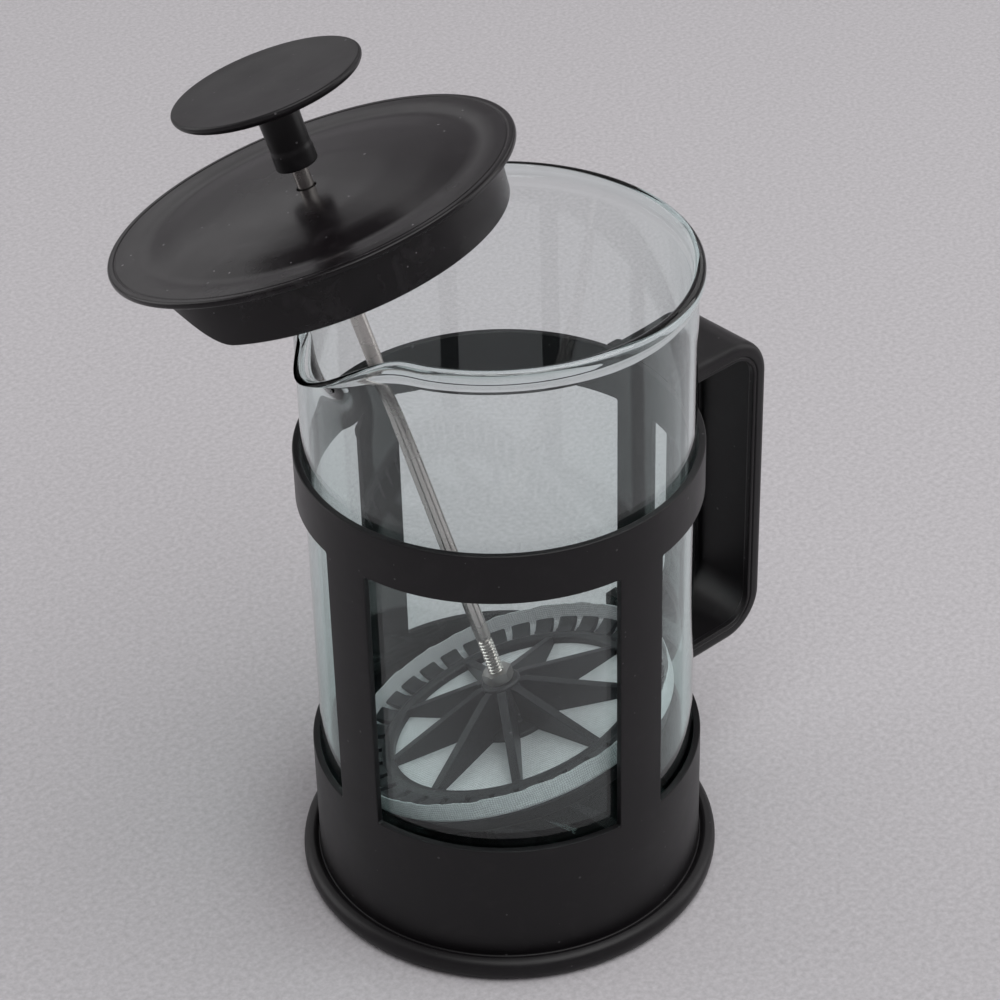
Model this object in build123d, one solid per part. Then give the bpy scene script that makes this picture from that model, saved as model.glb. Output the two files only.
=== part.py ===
from build123d import *
from math import cos, radians, sin
import os

# French press, one litre. Millimetres. The origin is the centre of the holder's underside, +Z is up,
# the handle is on +X and the pouring lip of the beaker is on -X. The plunger stands drawn part way out,
# leaning, with its lid resting on the beaker's rim.

# Holder
FRAME_WALL = 1.85
FRAME_HEIGHT = 129.4
BAND_HEIGHT = 13.5
SKIRT_HEIGHT = 39.8
FLOOR_THICKNESS = 3.0
FOOT_REACH = 4.4
FOOT_HEIGHT = 6.0
PILLAR_COUNT = 4
PILLAR_ANGLE = 16.0
WINDOW_CORNER = 1.2

# Beaker
GLASS_RADIUS = 48.0
GLASS_WALL = 1.8
GLASS_BASE = 2.6
GLASS_BASE_CORNER = 6.0
BEAKER_HEIGHT = 175.5
RIM_BEAD = 1.5
RIM_FLARE = 0.9
BEAKER_PLAY = 0.35
LIP_RADIUS = 10.0
LIP_REACH = 10.5
LIP_DEPTH = 26.0
LIP_DROP = 7.0
LIP_DROP_START = 2.0

# Handle
HANDLE_WIDTH = 24.0
HANDLE_STANDOFF = 32.0
HANDLE_TOP = FRAME_HEIGHT
HANDLE_BOTTOM = 36.0
HANDLE_DEPTH = 5.0
HANDLE_WALL = 2.2
HANDLE_CORNER = 12.0
HANDLE_PAD = 3.2
UPPER_PAD_HEIGHT = BAND_HEIGHT
LOWER_PAD_HEIGHT = 15.0
JOINT_GAP = 0.05

# Handle screws
SCREW_RADIUS = 1.5
SCREW_LENGTH = 9.0
SCREW_HEAD_RADIUS = 2.8
SCREW_HEAD_HEIGHT = 1.5
BOSS_RADIUS = 3.4
BOSS_LENGTH = 6.5

# Where the plunger stands: the filter's place across the beaker and its depth under the rim
FILTER_X = 2.1
FILTER_Y = -1.0
FILTER_DEPTH = 137.0
LEAN = 18.5
LEAN_AZIMUTH = 117.4

# Rod and its fixings
ROD_RADIUS = 2.0
ROD_FIT = 0.05
KNOB_COVER = 7.7
NUT_FLATS = 7.0
NUT_HEIGHT = 3.0
INSERT_RADIUS = 3.2
KNOB_INSERT_LENGTH = 10.0
PLATE_INSERT_LENGTH = 4.4

# Lid, measured up the rod from the filter mesh, its radii from the beaker's rim
LID_OVERHANG = 1.8
LID_RIM = 153.9
LID_THICKNESS = 1.8
LID_DOME = 2.0
LID_BORDER = 7.5
LID_BORDER_RISE = 0.5
LID_HOLE_PLAY = 0.4
LID_BOSS_RADIUS = 5.0
LID_BOSS_DEPTH = 4.0
LID_SKIRT_DEPTH = 15.0
LID_SKIRT_PLAY = 0.5
LID_SKIRT_TAPER = 0.8
LID_SKIRT_WALL = 1.8
LID_NOTCH_AZIMUTH = 153.6
LID_NOTCH_MOUTH_ANGLE = 47.0
LID_NOTCH_ROOT_ANGLE = 19.0
LID_NOTCH_LEDGE = 1.2

# Knob
KNOB_RADIUS = 23.7
KNOB_HEIGHT = 21.9
KNOB_GAP = 5.9
KNOB_EDGE = 2.4
KNOB_DISH = 0.9
STEM_TOP_RADIUS = 5.2
STEM_RADIUS = 4.8

# Filter
MESH_PLAY = 2.4
MESH_HEIGHT = 5.9
MESH_THICKNESS = 0.25
MESH_CORNER = 1.2
PLATE_INSET = 0.8
PLATE_TAPER = 2.4
PLATE_HEIGHT = 5.4
PLATE_FLOOR = 1.5
PLATE_RIM_WALL = 1.6
PLATE_HUB_RADIUS = 7.0
PLATE_RING_WIDTH = 9.0
SPOKE_WIDTH = 3.0
FIN_COUNT = 9
FIN_FIRST_AZIMUTH = -129.6
FIN_THICKNESS = 2.0
HUB_RADIUS = 5.2
HUB_HEIGHT = 12.5
SPIDER_DISC_RADIUS = 11.0
SPIDER_DISC_THICKNESS = 1.2
RING_WIDTH = 3.2
RING_THICKNESS = 1.8
FINGER_COUNT = 36
FINGER_INSET = 2.2
FINGER_LENGTH = 5.6
FINGER_RISE = 1.9
FINGER_THICKNESS = 1.2
FINGER_SLOT = 1.8
LAYER_GAP = 0.02

frame_inner = GLASS_RADIUS + BEAKER_PLAY
frame_outer = frame_inner + FRAME_WALL
band_bottom = FRAME_HEIGHT - BAND_HEIGHT
glass_inner = GLASS_RADIUS - GLASS_WALL
beaker_foot = FLOOR_THICKNESS
beaker_top = beaker_foot + BEAKER_HEIGHT
bead_centre = GLASS_RADIUS - GLASS_WALL / 2 + RIM_FLARE
handle_reach = frame_outer + HANDLE_STANDOFF
lid_radius = bead_centre + RIM_BEAD + LID_OVERHANG
skirt_top_radius = bead_centre - RIM_BEAD - LID_SKIRT_PLAY
skirt_radius = skirt_top_radius - LID_SKIRT_TAPER
stem_foot = LID_RIM + LID_DOME + KNOB_GAP
knob_top = stem_foot + KNOB_HEIGHT
rod_top = knob_top - KNOB_COVER
mesh_radius = glass_inner - MESH_PLAY
plate_top_radius = mesh_radius - PLATE_INSET
plate_foot_radius = plate_top_radius - PLATE_TAPER
plate_ring_inner = plate_top_radius - PLATE_RING_WIDTH
finger_radius = mesh_radius - FINGER_INSET
ring_outer = finger_radius - FINGER_LENGTH
ring_inner = ring_outer - RING_WIDTH
rod_hole = ROD_RADIUS + ROD_FIT
screw_hole = SCREW_RADIUS + JOINT_GAP
upper_screw = FRAME_HEIGHT - BAND_HEIGHT / 2
lower_screw = HANDLE_BOTTOM + LOWER_PAD_HEIGHT * 0.62
plunger_place = (
    Pos(FILTER_X, FILTER_Y, beaker_top - FILTER_DEPTH)
    * Rot(0, 0, LEAN_AZIMUTH)
    * Rot(0, LEAN, 0)
    * Rot(0, 0, -LEAN_AZIMUTH)
)


def turned(*points):
    """A solid of revolution about Z from a closed outline of (radius, height) points."""
    return revolve(make_face(Plane.XZ * Polyline(*points, close=True)), Axis.Z)


def column(radius, low, high):
    """A round column on Z between two heights."""
    return Pos(0, 0, (low + high) / 2) * Cylinder(radius, high - low)


def around(count, piece, first=0.0):
    """Copies of a piece spaced evenly about Z."""
    return [Rot(0, 0, first + i * 360 / count) * piece for i in range(count)]


def block(low, high):
    """A box between two corners."""
    size = [b - a for a, b in zip(low, high)]
    middle = [(a + b) / 2 for a, b in zip(low, high)]
    return Pos(*middle) * Box(*size)


def along_x(radius, start, end, height):
    """A round bar on X between two distances from the axis."""
    return Pos((start + end) / 2, 0, height) * Rot(0, 90, 0) * Cylinder(radius, end - start)


def screw_head(height, play):
    """The countersunk head of a handle screw, with room around it."""
    seat = frame_inner + SCREW_HEAD_HEIGHT + JOINT_GAP
    cone = Cone(SCREW_HEAD_RADIUS + play, SCREW_RADIUS + play, SCREW_HEAD_HEIGHT)
    return Pos(seat - SCREW_HEAD_HEIGHT / 2, 0, height) * Rot(0, 90, 0) * cone


def make_holder_frame():
    """One moulding: floor, foot bead, skirt, four pillars and the band that holds the glass."""
    shell = column(frame_outer, 0, FRAME_HEIGHT)
    shell -= column(frame_inner, FLOOR_THICKNESS, FRAME_HEIGHT)
    foot = column(frame_outer + FOOT_REACH, 0, FOOT_HEIGHT) - column(frame_inner, 0, FOOT_HEIGHT)
    rims = foot.edges().filter_by(GeomType.CIRCLE).sort_by(SortBy.RADIUS)[-2:]
    shell += fillet(rims, FOOT_HEIGHT * 0.45)
    half = (360 / PILLAR_COUNT - PILLAR_ANGLE) / 2
    reach = frame_outer * 1.6
    side = reach * sin(radians(half))
    wedge = Polyline((0, 0), (reach, -side), (reach, side), close=True)
    window = extrude(make_face(wedge), band_bottom - SKIRT_HEIGHT)
    window = Pos(0, 0, SKIRT_HEIGHT) * window
    for cut in around(PILLAR_COUNT, window, 180 / PILLAR_COUNT):
        shell -= cut - column(frame_inner / 2, SKIRT_HEIGHT, band_bottom)
    corners = shell.edges().filter_by(
        lambda e: e.geom_type == GeomType.LINE
        and abs(e.length - FRAME_WALL) < 0.3
        and e.center().Z > FLOOR_THICKNESS
    )
    shell = fillet(corners, WINDOW_CORNER)
    for height in (upper_screw, lower_screw):
        shell -= along_x(screw_hole, frame_inner - 1, frame_outer + 1, height)
        shell -= screw_head(height, JOINT_GAP)
    return shell


def d_outline(inset, width):
    """A D-shaped prism: the handle's side view, drawn in from its outside by an inset."""
    corner = HANDLE_CORNER - inset
    outer = handle_reach - inset
    high = HANDLE_TOP - inset
    low = HANDLE_BOTTOM + inset
    back = 0
    prism = block((back, -width / 2, low), (outer, width / 2, high))
    rounded = prism.edges().filter_by(Axis.Y).sort_by(Axis.X)[-2:]
    return fillet(rounded, corner)


def make_handle():
    """A channel-section D handle, open towards the glass, with a pad and screw boss at each end."""
    handle = d_outline(0, HANDLE_WIDTH) - d_outline(HANDLE_DEPTH, HANDLE_WIDTH + 2)
    handle -= d_outline(HANDLE_WALL, HANDLE_WIDTH - 2 * HANDLE_WALL)
    pad_face = frame_outer + JOINT_GAP + HANDLE_PAD
    side = HANDLE_WIDTH / 2
    handle += block((0, -side, HANDLE_TOP - UPPER_PAD_HEIGHT), (pad_face, side, HANDLE_TOP))
    handle += block((0, -side, HANDLE_BOTTOM), (pad_face, side, HANDLE_BOTTOM + LOWER_PAD_HEIGHT))
    for height in (upper_screw, lower_screw):
        handle += along_x(BOSS_RADIUS, pad_face - 1, pad_face + BOSS_LENGTH, height)
    handle -= column(frame_outer + JOINT_GAP, 0, FRAME_HEIGHT + 1)
    for height in (upper_screw, lower_screw):
        handle -= along_x(screw_hole, frame_inner, frame_inner + SCREW_LENGTH + 0.5, height)
    return handle


def make_screw(height):
    """A countersunk screw that holds the handle from inside the holder."""
    shank = along_x(SCREW_RADIUS, frame_inner + SCREW_HEAD_HEIGHT / 2, frame_inner + SCREW_LENGTH, height)
    return screw_head(height, 0) + shank


def make_beaker():
    """The glass: a straight wall, rounded foot, beaded rim and a pulled pouring lip."""
    outside = column(GLASS_RADIUS, beaker_foot, beaker_top - RIM_BEAD)
    outside = fillet(outside.edges().sort_by(Axis.Z)[0], GLASS_BASE_CORNER)
    bead = Pos(0, 0, beaker_top - RIM_BEAD) * Torus(bead_centre, RIM_BEAD)
    lip_low = beaker_top - LIP_DEPTH
    lip_centre = GLASS_RADIUS + LIP_REACH - LIP_RADIUS
    base_ring = Pos(-glass_inner + 1.5, 0, lip_low) * Circle(1.5)
    outer_ring = Pos(-lip_centre, 0, beaker_top) * Circle(LIP_RADIUS)
    lip = loft([base_ring, outer_ring])
    hollow_low = Pos(-glass_inner + 2.5 + GLASS_WALL, 0, lip_low) * Circle(1.0)
    hollow_high = Pos(-lip_centre, 0, beaker_top + 1) * Circle(LIP_RADIUS - GLASS_WALL)
    hollow = loft([hollow_low, hollow_high])
    inside = column(glass_inner, beaker_foot + GLASS_BASE, beaker_top + 1)
    inside = fillet(inside.edges().sort_by(Axis.Z)[0], GLASS_BASE_CORNER - GLASS_WALL)
    lip_end = GLASS_RADIUS + LIP_REACH
    drop = Polyline(
        (LIP_DROP_START - GLASS_RADIUS, beaker_top),
        (-lip_end, beaker_top - LIP_DROP),
        (-lip_end - 1, beaker_top - LIP_DROP),
        (-lip_end - 1, beaker_top + 1),
        (LIP_DROP_START - GLASS_RADIUS, beaker_top + 1),
        close=True,
    )
    slope = extrude(make_face(Plane.XZ * drop), LIP_RADIUS + 2, both=True)
    beaker = outside + lip
    beaker -= inside
    beaker -= hollow
    bead -= hollow
    beaker += bead
    beaker -= slope
    return beaker


def make_lid():
    """A shallow domed disc with a raised border, a skirt with a pouring notch, and a guide for the rod."""
    hole = ROD_RADIUS + LID_HOLE_PLAY
    under = LID_RIM - LID_THICKNESS
    border = lid_radius - LID_BORDER
    top = LID_RIM + LID_DOME
    cover = turned(
        (hole, top),
        (border - 1, LID_RIM - LID_BORDER_RISE),
        (border, LID_RIM),
        (lid_radius, LID_RIM),
        (lid_radius, under),
        (border, under),
        (border - 1, under - LID_BORDER_RISE),
        (LID_BOSS_RADIUS, top - LID_THICKNESS),
        (LID_BOSS_RADIUS, top - LID_THICKNESS - LID_BOSS_DEPTH),
        (hole, top - LID_THICKNESS - LID_BOSS_DEPTH),
    )
    rim = cover.edges().filter_by(GeomType.CIRCLE).sort_by(SortBy.RADIUS)[-2:]
    cover = fillet(rim, LID_THICKNESS * 0.45)
    skirt_foot = LID_RIM - LID_SKIRT_DEPTH
    skirt = turned(
        (skirt_top_radius, under + 0.2),
        (skirt_radius, skirt_foot),
        (skirt_radius - LID_SKIRT_WALL, skirt_foot),
        (skirt_top_radius - LID_SKIRT_WALL, under + 0.2),
    )
    mouth = skirt_radius * sin(radians(LID_NOTCH_MOUTH_ANGLE))
    root = skirt_radius * sin(radians(LID_NOTCH_ROOT_ANGLE))
    ledge = under - LID_NOTCH_LEDGE
    notch_shape = Polyline(
        (-mouth, skirt_foot),
        (mouth, skirt_foot),
        (root, ledge),
        (-root, ledge),
        close=True,
    )
    notch = extrude(make_face(Plane.YZ * notch_shape), lid_radius)
    notch -= block((-1, -lid_radius, skirt_foot - 1), (skirt_radius * 0.4, lid_radius, LID_RIM))
    skirt -= Rot(0, 0, LID_NOTCH_AZIMUTH) * notch
    return cover + skirt


def make_knob():
    """A thin dished disc on a short round stem, moulded in one piece."""
    under = knob_top - KNOB_EDGE
    knob = turned(
        (0, knob_top - KNOB_DISH),
        (KNOB_RADIUS * 0.8, knob_top - KNOB_DISH * 0.35),
        (KNOB_RADIUS, knob_top),
        (KNOB_RADIUS, under),
        (STEM_TOP_RADIUS, under - KNOB_DISH),
        (STEM_RADIUS, stem_foot),
        (0, stem_foot),
    )
    rim = knob.edges().filter_by(GeomType.CIRCLE).sort_by(SortBy.RADIUS)[-2:]
    knob = fillet(rim, KNOB_EDGE * 0.42)
    insert_room = column(INSERT_RADIUS + JOINT_GAP, stem_foot, stem_foot + KNOB_INSERT_LENGTH + JOINT_GAP)
    return knob - insert_room - column(rod_hole, stem_foot, rod_top + 0.5)


def make_insert(low, length):
    """A threaded metal bush moulded into the plastic around the end of the rod."""
    return column(INSERT_RADIUS, low, low + length) - column(rod_hole, low - 1, low + length + 1)


def make_rod():
    """The plunger rod."""
    return column(ROD_RADIUS, -PLATE_HEIGHT + 1, rod_top)


def make_nut():
    """The hexagon nut that locks the rod against the top of the spider."""
    low = HUB_HEIGHT + LAYER_GAP
    nut = extrude(Pos(0, 0, low) * RegularPolygon(NUT_FLATS / 2, 6, major_radius=False), NUT_HEIGHT)
    return nut - column(rod_hole, 0, low + NUT_HEIGHT + 1)


def make_mesh():
    """The filter mesh as a thin shallow dish, its edge turned up against the glass."""
    dish = column(mesh_radius, 0, MESH_HEIGHT)
    dish = fillet(dish.edges().sort_by(Axis.Z)[0], MESH_CORNER)
    room = column(mesh_radius - MESH_THICKNESS, MESH_THICKNESS, MESH_HEIGHT + 1)
    room = fillet(room.edges().sort_by(Axis.Z)[0], MESH_CORNER - MESH_THICKNESS)
    return dish - room - column(rod_hole, -1, MESH_HEIGHT)


def make_base_plate():
    """The plate under the mesh: a tapered rim, spokes and a hub that takes the rod's threaded bush."""
    top = -LAYER_GAP
    low = -PLATE_HEIGHT
    rim = turned(
        (plate_top_radius, top),
        (plate_foot_radius, low),
        (plate_foot_radius - PLATE_RIM_WALL, low),
        (plate_top_radius - PLATE_RIM_WALL - 1, -PLATE_FLOOR),
        (plate_ring_inner, -PLATE_FLOOR),
        (plate_ring_inner, top),
    )
    plate = rim + column(PLATE_HUB_RADIUS, low, top)
    spoke = block((1, -SPOKE_WIDTH / 2, -PLATE_FLOOR - 1), (plate_ring_inner + 1, SPOKE_WIDTH / 2, top))
    for piece in around(FIN_COUNT, spoke, FIN_FIRST_AZIMUTH):
        plate += piece
    plate -= column(rod_hole, low - 1, 1)
    return plate - column(INSERT_RADIUS + JOINT_GAP, low - 1, low + PLATE_INSERT_LENGTH + JOINT_GAP)


def make_spider():
    """The plate over the mesh: a tall hub, nine fins down to a ring, and a rim cut into fingers."""
    low = MESH_THICKNESS + LAYER_GAP
    spider = column(HUB_RADIUS, low, HUB_HEIGHT)
    spider += column(SPIDER_DISC_RADIUS, low, low + SPIDER_DISC_THICKNESS)
    spider += column(ring_outer, low, low + RING_THICKNESS) - column(ring_inner, low, low + RING_THICKNESS)
    fin_outline = Polyline(
        (HUB_RADIUS - 2, low),
        (ring_inner + 1, low),
        (ring_inner + 1, low + RING_THICKNESS),
        (HUB_RADIUS + 1, HUB_HEIGHT - 0.8),
        (HUB_RADIUS - 2, HUB_HEIGHT - 0.8),
        close=True,
    )
    fin = extrude(make_face(Plane.XZ * fin_outline), FIN_THICKNESS / 2, both=True)
    for piece in around(FIN_COUNT, fin, FIN_FIRST_AZIMUTH):
        spider += piece
    fingers = turned(
        (ring_outer - 1, low),
        (ring_outer, low),
        (finger_radius, low + FINGER_RISE),
        (finger_radius, low + FINGER_RISE + FINGER_THICKNESS),
        (ring_outer - 1, low + RING_THICKNESS),
    )
    slot = block(
        (ring_outer + 0.6, -FINGER_SLOT / 2, 0),
        (finger_radius + 1, FINGER_SLOT / 2, low + FINGER_RISE + FINGER_THICKNESS + 1),
    )
    for cut in around(FINGER_COUNT, slot):
        fingers -= cut
    spider += fingers
    return spider - column(rod_hole, 0, HUB_HEIGHT + 1)


still = {
    "holder_frame": make_holder_frame(),
    "handle": make_handle(),
    "handle_screw_upper": make_screw(upper_screw),
    "handle_screw_lower": make_screw(lower_screw),
    "glass_beaker": make_beaker(),
}
plunger = {
    "lid": make_lid(),
    "plunger_knob": make_knob(),
    "knob_insert": make_insert(stem_foot, KNOB_INSERT_LENGTH),
    "plunger_rod": make_rod(),
    "lock_nut": make_nut(),
    "filter_spider": make_spider(),
    "filter_mesh": make_mesh(),
    "filter_base_plate": make_base_plate(),
    "base_plate_insert": make_insert(-PLATE_HEIGHT, PLATE_INSERT_LENGTH),
}
nodes = dict(still)
for name, piece in plunger.items():
    nodes[name] = plunger_place * piece

os.makedirs("parts", exist_ok=True)
for name, piece in nodes.items():
    piece.label = name
    export_step(piece, f"parts/{name}.step")
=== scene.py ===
"""French press: the finished look of each piece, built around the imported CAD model."""

from math import atan2, cos, hypot, pi, radians, sin, tan

import bmesh
import bpy
from bpy.props import FloatProperty, FloatVectorProperty, IntProperty, PointerProperty
from mathutils import Matrix, Vector


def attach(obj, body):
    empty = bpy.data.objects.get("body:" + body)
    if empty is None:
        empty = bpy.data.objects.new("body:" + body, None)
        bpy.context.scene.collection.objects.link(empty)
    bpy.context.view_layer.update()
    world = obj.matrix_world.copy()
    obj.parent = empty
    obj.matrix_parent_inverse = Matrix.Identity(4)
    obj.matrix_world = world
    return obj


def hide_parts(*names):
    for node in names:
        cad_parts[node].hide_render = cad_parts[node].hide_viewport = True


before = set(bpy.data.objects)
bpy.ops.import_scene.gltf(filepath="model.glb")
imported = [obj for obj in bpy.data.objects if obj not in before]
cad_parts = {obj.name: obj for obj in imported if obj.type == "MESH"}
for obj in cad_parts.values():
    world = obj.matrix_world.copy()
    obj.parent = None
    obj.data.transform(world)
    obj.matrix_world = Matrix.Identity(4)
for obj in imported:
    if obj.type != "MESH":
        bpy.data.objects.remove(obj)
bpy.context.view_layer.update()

bl_info = {
    "name": "French Press",
    "version": (1, 0, 0),
    "blender": (4, 5, 0),
    "location": "View3D > Sidebar > French Press",
    "description": "Builds a french press with a glass beaker, a moulded holder and a plunger",
    "category": "Add Mesh",
}

# A millimetre in the scene's metres, and the distance in metres within which vertices are merged.
MM = 0.001
MERGE_WITHIN = 1e-6

# How finely round shapes are cut, and the angle below which they are shaded smooth.
TURN_STEPS = 180
SMALL_TURN_STEPS = 72
GLASS_TURN_STEPS = 240
ROD_TURN_STEPS = 48
THREAD_TURN_STEPS = 24
PAPER_TURN_STEPS = 96
BEND_STEPS = 14
CORNER_STEPS = 4
LIP_RINGS = 16
SMOOTH_BELOW = radians(32)

# Sizes in millimetres that several pieces share, or that fit them to the CAD model. The gap between
# two fingers is measured at its own radius.
FLOOR = 3.0
FRAME_INNER = 48.35
LID_THICKNESS = 1.8
PLUNGER_FOOT = (2.1, -1.0, 41.5)
SPIDER_FOOT = 0.27
SPIDER_RING = (32.8, 36.0)
FIN_WIDTH = 2.4
FINGER_GAP = 1.8
FINGER_GAP_RADIUS = 39.0
BASE_TOP = -0.02
BASE_FOOT = -5.4


def length(name, description, default, low=0.0):
    """A size in millimetres, held in metres as the scene is."""
    return FloatProperty(
        name=name, description=description, default=default * MM, min=low * MM, unit="LENGTH", precision=5
    )


def angle(name, description, default):
    """An angle given in degrees and held in radians."""
    return FloatProperty(name=name, description=description, default=radians(default), unit="ROTATION")


def linear(hex_colour):
    """An sRGB hex colour as the linear RGBA that shaders take."""
    channels = [int(hex_colour[i : i + 2], 16) / 255 for i in (1, 3, 5)]
    return (*(c / 12.92 if c <= 0.04045 else ((c + 0.055) / 1.055) ** 2.4 for c in channels), 1.0)


def colour(name, description, default):
    """A colour chosen as sRGB hex and held as linear RGBA."""
    return FloatVectorProperty(
        name=name, description=description, default=linear(default), size=4, min=0, max=1, subtype="COLOR"
    )


class PressHolderSizes(bpy.types.PropertyGroup):
    """Sizes of the moulded holder."""

    wall: length("Wall", "Thickness of the moulded wall", 1.85)
    height: length("Height", "Height of the holder", 129.4)
    band_height: length("Band", "Height of the band that holds the glass", 13.5)
    skirt_height: length("Skirt", "Height of the closed skirt under the windows", 39.8)
    foot_reach: length("Foot reach", "How far the foot bead stands out from the wall", 4.4)
    foot_height: length("Foot height", "Height of the foot bead", 6.0)
    pillar_angle: angle("Pillar", "Angle that each pillar covers", 16.0)
    window_corner: length("Window corner", "Rounding of the window corners", 0.6)
    edge: length("Edge", "Rounding of the moulded edges", 0.4)


class PressHandleSizes(bpy.types.PropertyGroup):
    """Sizes of the D handle."""

    width: length("Width", "Width of the handle across", 24.0)
    reach: length("Reach", "Distance of the grip's outside from the centre", 82.2)
    foot: length("Foot", "Height of the lower arm's underside", 36.0)
    depth: length("Depth", "Depth of the channel's sides", 5.0)
    wall: length("Wall", "Thickness of the channel's walls", 2.2)
    corner: length("Corner", "Outside radius of the D's corners", 12.0)
    lower_pad: length("Lower pad", "Height of the lower fixing pad", 15.0)


class PressBeakerSizes(bpy.types.PropertyGroup):
    """Sizes of the glass beaker."""

    radius: length("Radius", "Outside radius of the glass", 48.0)
    wall: length("Wall", "Thickness of the glass", 1.8)
    base: length("Base", "Thickness of the glass at the bottom", 2.6)
    top: length("Top", "Height of the rim", 178.5)
    bead: length("Rim bead", "Radius of the fire-polished bead", 1.5)
    flare: length("Rim flare", "How far the bead stands out from the middle of the wall", 0.9)
    lip_reach: length("Lip reach", "How far the pouring lip stands out", 10.6)
    lip_depth: length("Lip depth", "How far down the glass the lip begins", 25.0)
    lip_drop: length("Lip drop", "How far the lip's tip lies below the rim", 7.4)
    lip_spread: angle("Lip spread", "Half the angle that the lip is drawn from", 31.0)


class PressLidSizes(bpy.types.PropertyGroup):
    """Sizes of the lid, measured up the rod from the filter mesh."""

    radius: length("Radius", "Radius of the lid's disc", 51.3)
    rim: length("Rim height", "Height of the rim's top on the rod", 153.9)
    dome: length("Dome", "Rise of the middle over the rim", 2.0)
    border: length("Border", "Width of the raised border", 7.5)
    skirt: length("Skirt", "Depth of the skirt below the rim's top", 15.0)
    skirt_radius: length("Skirt radius", "Outside radius at the skirt's foot", 45.2)
    notch_azimuth: angle("Notch", "Direction of the pouring notch", 153.6)
    notch_mouth: angle("Notch mouth", "Half the notch's angle at the skirt's foot", 47.0)
    notch_root: angle("Notch root", "Half the notch's angle at its root", 19.0)


class PressPlungerSizes(bpy.types.PropertyGroup):
    """Sizes of the rod, knob and filter, measured up the rod from the filter mesh."""

    lean: angle("Lean", "How far the plunger leans", 18.5)
    lean_azimuth: angle("Lean direction", "Direction that the plunger leans to", 117.4)
    rod_radius: length("Rod radius", "Radius of the rod", 2.0)
    rod_top: length("Rod top", "Height of the rod's end in the knob", 176.0)
    thread_top: length("Thread end", "Height where the rod's thread ends", 25.6)
    thread_pitch: length("Thread pitch", "Pitch of the rod's thread, coarse enough to show", 0.95)
    nut_flats: length("Nut flats", "Width of the nut across its flats", 7.0)
    nut_height: length("Nut height", "Height of the nut", 3.0)
    knob_radius: length("Knob radius", "Radius of the knob's disc", 23.7)
    knob_top: length("Knob top", "Height of the knob's top", 183.7)
    stem_foot: length("Stem foot", "Height of the knob stem's foot", 161.8)
    hub_height: length("Hub height", "Height of the spider's hub", 12.5)
    mesh_radius: length("Mesh radius", "Radius of the filter mesh", 43.8)
    mesh_height: length("Mesh height", "Height of the mesh's turned-up edge", 5.9)
    weave: length("Weave", "Spacing of the mesh wires as drawn", 0.6)
    fins: IntProperty(name="Fins", description="Number of fins on the spider", default=9, min=3)
    fingers: IntProperty(name="Fingers", description="Number of fingers on the spider", default=36, min=6)
    first_fin: angle("First fin", "Direction of the first fin", -129.6)


class PressFinishes(bpy.types.PropertyGroup):
    """Colours of the finishes."""

    holder: colour("Holder", "Polypropylene of the holder and handle", "#141214")
    lid: colour("Lid", "Polypropylene of the lid", "#131012")
    filter: colour("Filter", "Polypropylene of the filter plates", "#212023")
    dust: colour("Dust", "Dust and scuffs on the plastic", "#8b888b")
    glass: colour("Glass", "Tint of the glass seen through its edge", "#59f5ef")
    # Painted glow: this green is painted into the glass's colour, stronger low down and edge on, in place of
    # light that the base leads up the wall
    glass_glow: colour("Glass glow", "Green light that the base leads up the wall", "#86d2c6")
    steel: colour("Steel", "Stainless steel of the rod", "#c6c1bd")
    plate: colour("Plating", "Zinc plate of the nut and screws", "#a5a19f")
    mesh: colour("Mesh", "Stainless steel wire of the filter mesh", "#dfdcdf")
    mesh_gap: colour("Mesh gaps", "Shade between the wires of the mesh", "#98959a")
    brass: colour("Brass", "Brass of the threaded bushes", "#b08d4c")
    paper: colour("Paper", "Background paper", "#bbb8bb")


class PressStageSettings(bpy.types.PropertyGroup):
    """Camera, lights and background."""

    azimuth: angle("Azimuth", "Direction of the camera from the centre", -131.4)
    elevation: angle("Elevation", "Height of the camera as an angle", 34.92)
    roll: angle("Roll", "Turn of the camera about its view", -1.552)
    distance: length("Distance", "Distance of the camera from its target", 741.7)
    target: FloatVectorProperty(
        name="Target",
        description="Point that the camera faces",
        default=(-0.0001, 0.0001, 0.1104),
        unit="LENGTH",
    )
    lens: FloatProperty(name="Lens", description="Focal length", default=108.48, unit="CAMERA")
    surround: FloatProperty(name="Surround", description="Strength of the even light all round", default=0.31)


# Helpers for meshes


def unique(items):
    """Items without repeats, in the order that they come."""
    return list(dict.fromkeys(items))


def profile(bm, points, closed=True):
    """Draws an outline in the XZ plane from (radius, height, rounding) and rounds its corners.

    An open outline has both ends on the axis, and the edge between them is left out.
    """
    before = set(bm.verts)
    corners = [bm.verts.new((radius * MM, 0, height * MM)) for radius, height, _ in points]
    bm.faces.new(corners)
    for corner, (_, _, rounding) in zip(corners, points):
        if rounding:
            bmesh.ops.bevel(
                bm,
                geom=[corner],
                offset=rounding * MM,
                affect="VERTICES",
                segments=CORNER_STEPS,
                profile=0.5,
                material=-1,
            )
    verts = made_since(bm, before)
    bmesh.ops.delete(bm, geom=unique(f for v in verts for f in v.link_faces), context="FACES_ONLY")
    edges = unique(e for v in verts for e in v.link_edges)
    if not closed:
        on_axis = [e for e in edges if all(abs(v.co.x) < 1e-7 for v in e.verts)]
        edges = [e for e in edges if e not in on_axis]
        bmesh.ops.delete(bm, geom=on_axis, context="EDGES")
    return verts, edges


def turned(bm, points, closed=True, steps=TURN_STEPS):
    """Spins an outline about Z into a closed shell."""
    verts, edges = profile(bm, points, closed)
    before = set(bm.verts) - set(verts)
    bmesh.ops.spin(
        bm, geom=verts + edges, cent=(0, 0, 0), axis=(0, 0, 1), angle=2 * pi, steps=steps, use_merge=True
    )
    bmesh.ops.remove_doubles(bm, verts=made_since(bm, before), dist=MERGE_WITHIN)


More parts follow.
